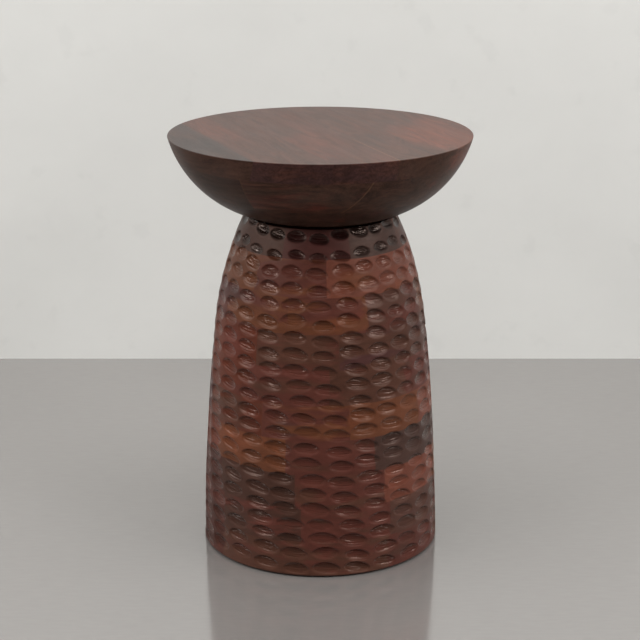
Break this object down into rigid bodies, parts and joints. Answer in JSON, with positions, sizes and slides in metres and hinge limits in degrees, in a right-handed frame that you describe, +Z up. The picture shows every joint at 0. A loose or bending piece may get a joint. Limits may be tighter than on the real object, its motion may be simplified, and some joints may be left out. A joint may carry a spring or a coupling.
{
  "type": "pedestal accent table",
  "caption": "Round accent table: a flat-topped wooden bowl on a hollow, bell-shaped pedestal of stacked wooden rings carved all over with shallow dimples.",
  "frame": {"origin": "on the floor under the table's axis, at the bottom of the felt pads", "axes": "+Z up along the turned axis; -Y towards the front that the picture shows"},
  "size_m": [0.3994, 0.3994, 0.56],
  "materials": {
    "deck_wood": "stained brown, satin lacquer",
    "bowl_wood": "stained dark brown, satin lacquer",
    "pedestal_wood": "stained red-brown to dark brown, satin lacquer over hand-gouged dimples",
    "core_wood": "sawn and left raw",
    "screw_steel": "zinc plated",
    "felt": "dark brown felt"
  },
  "bodies": {
    "root": {"pedestal_course_01": "pedestal_wood", "pedestal_course_02": "pedestal_wood", "pedestal_course_03": "pedestal_wood", "pedestal_course_04": "pedestal_wood", "pedestal_course_05": "pedestal_wood", "pedestal_course_06": "pedestal_wood", "pedestal_course_07": "pedestal_wood", "pedestal_course_08": "pedestal_wood", "pedestal_course_09": "pedestal_wood", "pedestal_course_10": "pedestal_wood", "deck_board_1": "deck_wood", "deck_board_2": "deck_wood", "deck_board_3": "deck_wood", "deck_board_4": "deck_wood", "deck_board_5": "deck_wood", "middle_board_1": "bowl_wood", "middle_board_2": "bowl_wood", "middle_board_3": "bowl_wood", "middle_board_4": "bowl_wood", "middle_board_5_left": "bowl_wood", "middle_board_5_right": "bowl_wood", "lower_board_1": "bowl_wood", "lower_board_2": "bowl_wood", "lower_board_3": "bowl_wood", "neck_core": "core_wood", "top_fixing_screws": "screw_steel", "felt_pads": "felt"}
  },
  "joints": []
}
